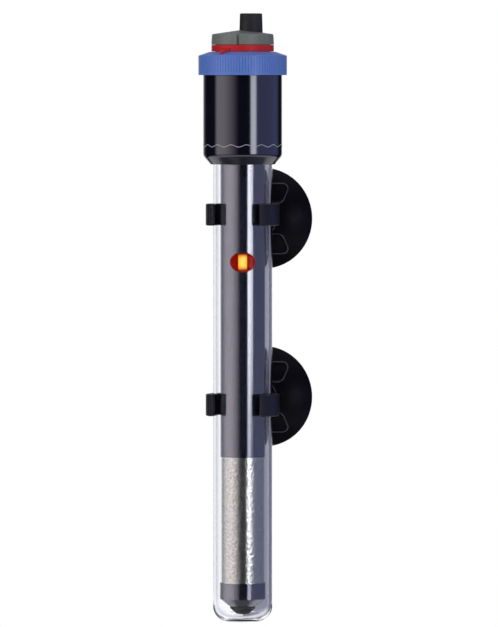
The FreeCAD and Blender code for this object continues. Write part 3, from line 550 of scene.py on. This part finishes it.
def cup_lines(centre_z):
    """Thin raised beads round both recesses and round the foot of the neck; their lighter rubber is a painted
    highlight on these edges.
    """
    foot, head = (POCKET_HALF_W, POCKET_FOOT), (POCKET_HALF_W + POCKET_FLARE, POCKET_HEAD)
    loops = []
    for up in (1, -1):
        corners = [(-foot[0], up * foot[1]), (foot[0], up * foot[1]),
                   (head[0], up * head[1]), (-head[0], up * head[1])]
        loop = rounded(corners, [POCKET_CORNER] * 4, steps=10)
        dense = []
        for (ax, ay), (bx, by) in zip(loop, loop[1:] + loop[:1]):
            count = max(1, round(math.hypot(bx - ax, by - ay) / BEAD_STEP))
            dense += [(ax + (bx - ax) * k / count, ay + (by - ay) * k / count) for k in range(count)]
        loops.append(dense)
    loops.append([(BEAD_RING_R * math.cos(math.pi * k / 60), BEAD_RING_R * math.sin(math.pi * k / 60))
                  for k in range(120)])
    verts, faces = [], []
    for loop in loops:
        base, count = len(verts), len(loop)
        for i, (x, z) in enumerate(loop):
            ax, az = loop[i - 1]
            bx, bz = loop[(i + 1) % count]
            length = math.hypot(bx - ax, bz - az)
            nx, nz = (bz - az) / length, (ax - bx) / length
            for k in range(BEAD_SIDES):
                angle = 2 * math.pi * k / BEAD_SIDES
                px, pz = x + nx * BEAD_R * math.cos(angle), z + nz * BEAD_R * math.cos(angle)
                height = back_height(math.hypot(px, pz)) + BEAD_R * (math.sin(angle) - 0.1)
                verts.append((MM * px, -MM * height, MM * (pz + centre_z)))
        for i in range(count):
            here, there = base + i * BEAD_SIDES, base + (i + 1) % count * BEAD_SIDES
            for k in range(BEAD_SIDES):
                m = (k + 1) % BEAD_SIDES
                faces.append((here + k, here + m, there + m, there + k))
    return verts, faces


def suction_cup(centre_z):
    """Rubber cup: soft lip, domed back with two recesses, neck with the stud's socket, and a hollow face."""
    back = cup_back()
    fillet = arc(back[-1], (CUP_NECK_R, CUP_DOME_H + CUP_FILLET), -0.41, 8)
    neck = rounded([fillet[-1], (CUP_NECK_R, CUP_TOP_H), (SOCKET_MOUTH_R, CUP_TOP_H)],
                   [0, CUP_TOP_EDGE, 0], closed=False)
    socket = [(SOCKET_MOUTH_R, SOCKET_STEP_H), (SOCKET_R, SOCKET_STEP_H), (SOCKET_R, SOCKET_WIDE_H),
              (SOCKET_TIP_R, SOCKET_FOOT_H), (0, SOCKET_FOOT_H)]
    hollow = arc((0, CUP_HOLLOW_H), (CUP_HOLLOW_R, 0), -CUP_BULGE, 24)
    lip = [(CUP_R - CUP_LIP_EDGE, 0), (CUP_R, CUP_LIP_EDGE)]
    outline = lip + back + fillet[1:] + neck[1:] + socket + hollow
    first, last = len(lip), len(lip) + len(back)

    def place(x, z, height):
        return (MM * x, -MM * height, MM * (z + centre_z))

    verts, faces = lathe(outline, CUP_SEGMENTS, place=place)
    for i in range(first * CUP_SEGMENTS, last * CUP_SEGMENTS):
        x, y, z = verts[i]
        verts[i] = (x, y + MM * pocket(x / MM, z / MM - centre_z), z)
    return verts, faces


def clip(band_z, stud_z):
    """C-shaped band with round edges and ends, a boss towards the wall and the stud that the cup holds."""
    half_t = CLIP_T / 2
    mid_r = CLIP_INNER_R + half_t
    start = math.radians(CLIP_HALF_OPENING - 90)
    sweep = math.radians(360 - 2 * CLIP_HALF_OPENING)
    length = sweep * mid_r
    ends = [CLIP_END_R * (1 - math.cos(math.pi / 2 * k / CLIP_END_STEPS)) for k in range(CLIP_END_STEPS + 1)]
    stations = ends + [CLIP_END_R + (length - 2 * CLIP_END_R) * k / CLIP_STEPS for k in range(1, CLIP_STEPS)]
    stations += [length - e for e in reversed(ends)]
    verts, faces, sections = [], [], []
    for at in stations:
        near = min(at, length - at, CLIP_END_R)
        thick = half_t - CLIP_END_R + math.sqrt(max(0.0, CLIP_END_R ** 2 - (CLIP_END_R - near) ** 2))
        high = CLIP_HALF_H - (half_t - thick) * CLIP_END_TAPER
        soft = min(CLIP_EDGE, thick * 0.9)
        inner, outer = mid_r - thick, mid_r + thick
        section = rounded([(inner, -high), (outer, -high), (outer, high), (inner, high)], [soft] * 4, steps=4)
        angle = start + at / mid_r
        ring = []
        for radius, z in section:
            ring.append(len(verts))
            verts.append((MM * radius * math.cos(angle), MM * (radius * math.sin(angle) - WALL_DISTANCE),
                          MM * (z + band_z)))
        sections.append(ring)
    for a, b in zip(sections, sections[1:]):
        count = len(a)
        faces += [(a[k], b[k], b[(k + 1) % count], a[(k + 1) % count]) for k in range(count)]
    faces += [tuple(sections[0]), tuple(reversed(sections[-1]))]

    def place(x, z, reach):
        return (MM * x, MM * (reach - WALL_DISTANCE), MM * (stud_z - z))

    profile = [
        (0, BOSS_ROOT), (BOSS_R, BOSS_ROOT), (BOSS_R, BOSS_END), (STUD_R, BOSS_END), (STUD_R, STUD_NECK_END),
        (STUD_HEAD_R, STUD_NECK_END), (STUD_TIP_R, STUD_END), (0, STUD_END)]
    stud = rounded(profile, [0, 0, 0.5, 0, 0, 0.2, 0.2, 0], closed=False)
    more, more_faces = lathe(stud, STUD_SEGMENTS, place=place)
    base = len(verts)
    return verts + more, faces + [tuple(base + k for k in face) for face in more_faces]


def build(name, shape, body, slot, *nodes):
    """Make a dressed piece on a body, in place of the named nodes."""
    return dress(new_piece(name, *shape, body, slot, nodes), slot)


build("glass_tube_clear", lathe(glass_outline()), "heater", "clear_glass", "glass_tube")
build("head_housing_smooth", lathe(head_outline()), "heater", "housing_black", "head_housing")
build("water_line", wavy_line(), "heater", "print_grey")
for place, side in (("upper", 1), ("lower", -1)):
    build("suction_cup_%s_soft" % place, suction_cup(side * CUP_Z), "suction_cup_%s" % place, "cup_rubber",
          "suction_cup_%s" % place)
    # The beads' lighter rubber is a painted highlight on the cup's edges
    build("cup_%s_lines" % place, cup_lines(side * CUP_Z), "suction_cup_%s" % place, "cup_lines")
    build("clip_%s_smooth" % place, clip(side * CLIP_Z, side * CUP_Z), "clip_%s" % place, "clip_black",
          "clip_%s" % place)


# World, floor, lamps and camera

def make_world():
    """White to the camera, soft even fill for light, and upright panels round the object for reflections."""
    world = bpy.data.worlds.new("studio")
    bpy.context.scene.world = world
    world.use_nodes = True
    world.cycles.sampling_method = "NONE"
    tree = world.node_tree
    tree.nodes.clear()

    def add(kind, **values):
        node = tree.nodes.new(kind)
        for key, value in values.items():
            setattr(node, key, value)
        return node

    def math_node(operation, a, b=None):
        node = add("ShaderNodeMath", operation=operation)
        for socket, value in zip(node.inputs, (a, b)):
            if value is None:
                continue
            if isinstance(value, (int, float)):
                socket.default_value = value
            else:
                tree.links.new(value, socket)
        return node.outputs[0]

    def ramp(value, stops):
        node = add("ShaderNodeValToRGB")
        elements = node.color_ramp.elements
        while len(elements) < len(stops):
            elements.new(1.0)
        for element, (position, colour) in zip(elements, stops):
            element.position = position
            element.color = (*colour, 1)
        tree.links.new(value, node.inputs[0])
        return node.outputs[0]

    def turn(degrees):
        """Ramp position of a direction, in degrees right of the photographer as seen from the object."""
        return 0.5 + degrees / 360

    coords = add("ShaderNodeTexCoord")
    mapping = add("ShaderNodeMapping")
    mapping.inputs["Rotation"].default_value = (0, 0, math.pi / 2 - CAMERA_AZIMUTH)
    tree.links.new(coords.outputs["Generated"], mapping.inputs[0])
    parts = add("ShaderNodeSeparateXYZ")
    tree.links.new(mapping.outputs[0], parts.inputs[0])
    around = math_node("ARCTAN2", parts.outputs[1], parts.outputs[0])
    around = math_node("ADD", math_node("DIVIDE", around, 2 * math.pi), 0.5)
    dark = (0.004, 0.004, 0.006)
    navy = (0.15, 0.165, 0.36)
    white = (0.5, 0.5, 0.5)
    panels = ramp(around, [
        (turn(-166), white), (turn(-150), (0.1, 0.1, 0.11)), (turn(-134), dark), (turn(-90), dark),
        (turn(-79), (0.72, 0.66, 0.74)), (turn(-56), (0.68, 0.62, 0.70)), (turn(-43), (0.50, 0.45, 0.52)),
        (turn(-30), (0.30, 0.27, 0.32)), (turn(-20), (0.12, 0.10, 0.13)), (turn(-12), dark), (turn(23), dark),
        (turn(44), navy), (turn(112), navy), (turn(134), dark), (turn(152), dark), (turn(166), white)])
    strip = ramp(around, [
        (turn(21), (0, 0, 0)), (turn(26), (0.85, 0.88, 1)), (turn(37), (0.85, 0.88, 1)),
        (turn(43), (0, 0, 0))])
    upright = math_node("ABSOLUTE", parts.outputs[2])
    level = ramp(upright, [(0.10, (1, 1, 1)), (0.18, (0, 0, 0))])
    panel_level = ramp(upright, [(0.16, (1, 1, 1)), (0.34, (0.12, 0.12, 0.12))])
    rise = math_node("ADD", math_node("DIVIDE", parts.outputs[2], 2), 0.5)
    above = ramp(rise, [
        (0.0, (0.1, 0.1, 0.12)), (0.1, (0.2, 0.2, 0.22)), (0.14, (0.9, 0.9, 1)), (0.25, (0.9, 0.9, 1)),
        (0.31, (0, 0, 0)), (0.72, (0, 0, 0)), (0.95, (0.7, 0.7, 0.72))])
    strip_light = add("ShaderNodeBackground")
    strip_light.inputs[1].default_value = 5.0
    tinted = add("ShaderNodeMix", data_type="RGBA", blend_type="MULTIPLY")
    tinted.inputs[0].default_value = 1.0
    tree.links.new(strip, tinted.inputs[6])
    tree.links.new(level, tinted.inputs[7])
    tree.links.new(tinted.outputs[2], strip_light.inputs[0])
    panel_light = add("ShaderNodeBackground")
    panel_light.inputs[1].default_value = 2.0
    cut = add("ShaderNodeMix", data_type="RGBA", blend_type="MULTIPLY")
    cut.inputs[0].default_value = 1.0
    tree.links.new(panels, cut.inputs[6])
    tree.links.new(panel_level, cut.inputs[7])
    tree.links.new(cut.outputs[2], panel_light.inputs[0])
    top_light = add("ShaderNodeBackground")
    tree.links.new(above, top_light.inputs[0])
    sum_a, sum_b = add("ShaderNodeAddShader"), add("ShaderNodeAddShader")
    tree.links.new(strip_light.outputs[0], sum_a.inputs[0])
    tree.links.new(panel_light.outputs[0], sum_a.inputs[1])
    tree.links.new(sum_a.outputs[0], sum_b.inputs[0])
    tree.links.new(top_light.outputs[0], sum_b.inputs[1])
    fill = add("ShaderNodeBackground")
    fill.inputs[0].default_value = (0.95, 0.97, 1.0, 1)
    fill.inputs[1].default_value = 0.5
    bright = (0.54, 0.54, 0.555)
    inside = ramp(around, [
        (turn(-145), bright), (turn(-130), (0.14, 0.14, 0.17)), (turn(-112), (0.27, 0.26, 0.30)),
        (turn(-97), (0.42, 0.39, 0.44)), (turn(-79), (0.48, 0.44, 0.49)),
        (turn(-56), (0.45, 0.41, 0.46)), (turn(-43), (0.33, 0.30, 0.34)), (turn(-30), (0.20, 0.18, 0.21)),
        (turn(-12), (0.003, 0.003, 0.005)), (turn(22), (0.003, 0.003, 0.005)), (turn(26), (0.68, 0.69, 0.83)),
        (turn(37), (0.68, 0.69, 0.83)), (turn(43), (0.085, 0.09, 0.155)), (turn(112), (0.085, 0.09, 0.155)),
        (turn(134), (0.08, 0.08, 0.11)), (turn(160), (0.12, 0.12, 0.16)), (turn(179), (0.14, 0.14, 0.175))])
    steep = ramp(upright, [(0.35, (0, 0, 0)), (0.55, (1, 1, 1))])
    open_sides = add("ShaderNodeMix", data_type="RGBA")
    tree.links.new(steep, open_sides.inputs[0])
    tree.links.new(inside, open_sides.inputs[6])
    below = ramp(upright, [(0.8, (0.38, 0.38, 0.395)), (0.93, (0.08, 0.08, 0.095))])
    tree.links.new(below, open_sides.inputs[7])
    through = add("ShaderNodeBackground")
    through.inputs[1].default_value = 1.9
    tree.links.new(open_sides.outputs[2], through.inputs[0])
    plain = add("ShaderNodeBackground")
    plain.inputs[0].default_value = (1, 1, 1, 1)
    rays = add("ShaderNodeLightPath")
    last = fill.outputs[0]
    for ray, light in (("Is Glossy Ray", sum_b), ("Is Transmission Ray", through), ("Is Camera Ray", plain)):
        mix = add("ShaderNodeMixShader")
        tree.links.new(rays.outputs[ray], mix.inputs[0])
        tree.links.new(last, mix.inputs[1])
        tree.links.new(light.outputs[0], mix.inputs[2])
        last = mix.outputs[0]
    tree.links.new(last, add("ShaderNodeOutputWorld").inputs[0])


def make_floor():
    """Pale floor that turns white away from the object; reflections and sight through glass pass it."""
    half = FLOOR_HALF
    level = cad_box[0][2] - FLOOR_DROP
    mesh = bpy.data.meshes.new("floor")
    mesh.from_pydata([(-half, -half, level), (half, -half, level), (half, half, level), (-half, half, level)],
                     [], [(0, 1, 2, 3)])
    floor = bpy.data.objects.new("floor", mesh)
    bpy.context.scene.collection.objects.link(floor)
    surface = Surface("floor", (0.88, 0.88, 0.88), 0.7).polish(3, 0.65, 0.75)
    rays = surface.add("ShaderNodeLightPath")
    away = surface.add("ShaderNodeVectorMath", operation="LENGTH")
    surface.link(surface.coords, "Object", away, 0)
    share = surface.add("ShaderNodeMapRange")
    share.inputs["From Min"].default_value = 0.25
    share.inputs["From Max"].default_value = 0.55
    share.inputs["To Min"].default_value = 0.5
    surface.link(away, "Value", share, 0)
    seen = surface.add("ShaderNodeMath", operation="MULTIPLY")
    surface.link(rays, "Is Camera Ray", seen, 0)
    surface.link(share, 0, seen, 1)
    lit = surface.add("ShaderNodeMixShader")
    white = surface.add("ShaderNodeEmission")
    surface.link(seen, 0, lit, 0)
    surface.link(surface.shader, 0, lit, 1)
    surface.link(white, 0, lit, 2)
    open_to = surface.add("ShaderNodeMath", operation="MAXIMUM")
    surface.link(rays, "Is Glossy Ray", open_to, 0)
    surface.link(rays, "Is Transmission Ray", open_to, 1)
    clear = surface.add("ShaderNodeBsdfTransparent")
    mix = surface.add("ShaderNodeMixShader")
    surface.link(open_to, 0, mix, 0)
    surface.link(lit, 0, mix, 1)
    surface.link(clear, 0, mix, 2)
    surface.link(mix, 0, surface.out, 0)
    mesh.materials.append(surface.material)


def aim(thing, target):
    """Turn a lamp or camera to look at a point."""
    away = thing.location - target
    thing.rotation_mode = "QUATERNION"
    thing.rotation_quaternion = away.to_track_quat("Z", "Y")


def around_object(degrees, elevation, distance, target):
    """Point at an angle to the right of the photographer, as seen from the object."""
    angle = CAMERA_AZIMUTH + math.radians(degrees)
    rise = math.radians(elevation)
    return target + distance * Vector(
        (math.sin(angle) * math.cos(rise), -math.cos(angle) * math.cos(rise), math.sin(rise)))


def make_lamp(name, degrees, elevation, size, power, target):
    """Soft rectangular lamp that lights the object without being mirrored in it."""
    data = bpy.data.lights.new(name, "AREA")
    data.shape = "RECTANGLE"
    data.size, data.size_y = size
    data.energy = power
    lamp = bpy.data.objects.new(name, data)
    bpy.context.scene.collection.objects.link(lamp)
    lamp.location = around_object(degrees, elevation, LAMP_DISTANCE, target)
    lamp.visible_glossy = False
    aim(lamp, target)


def make_camera(target):
    """Camera at the photographer's place."""
    data = bpy.data.cameras.new("photographer")
    data.lens = SENSOR * CAMERA_DISTANCE / FRAME_HEIGHT
    data.sensor_width = SENSOR
    data.clip_end = 20
    camera = bpy.data.objects.new("photographer", data)
    bpy.context.scene.collection.objects.link(camera)
    camera.location = around_object(0, math.degrees(CAMERA_ELEVATION), CAMERA_DISTANCE, target)
    aim(camera, target)
    bpy.context.scene.camera = camera


bpy.context.scene.view_settings.view_transform = "Standard"
right = AIM_RIGHT * MM
middle = Vector((right * math.cos(CAMERA_AZIMUTH), right * math.sin(CAMERA_AZIMUTH) - WALL_DISTANCE * MM,
                 AIM_UP * MM))
make_world()
make_floor()
make_lamp("key", -48, 28, (1.2, 1.4), 12, middle)
make_lamp("side", 40, 20, (0.8, 1.4), 7, middle)
make_camera(middle)
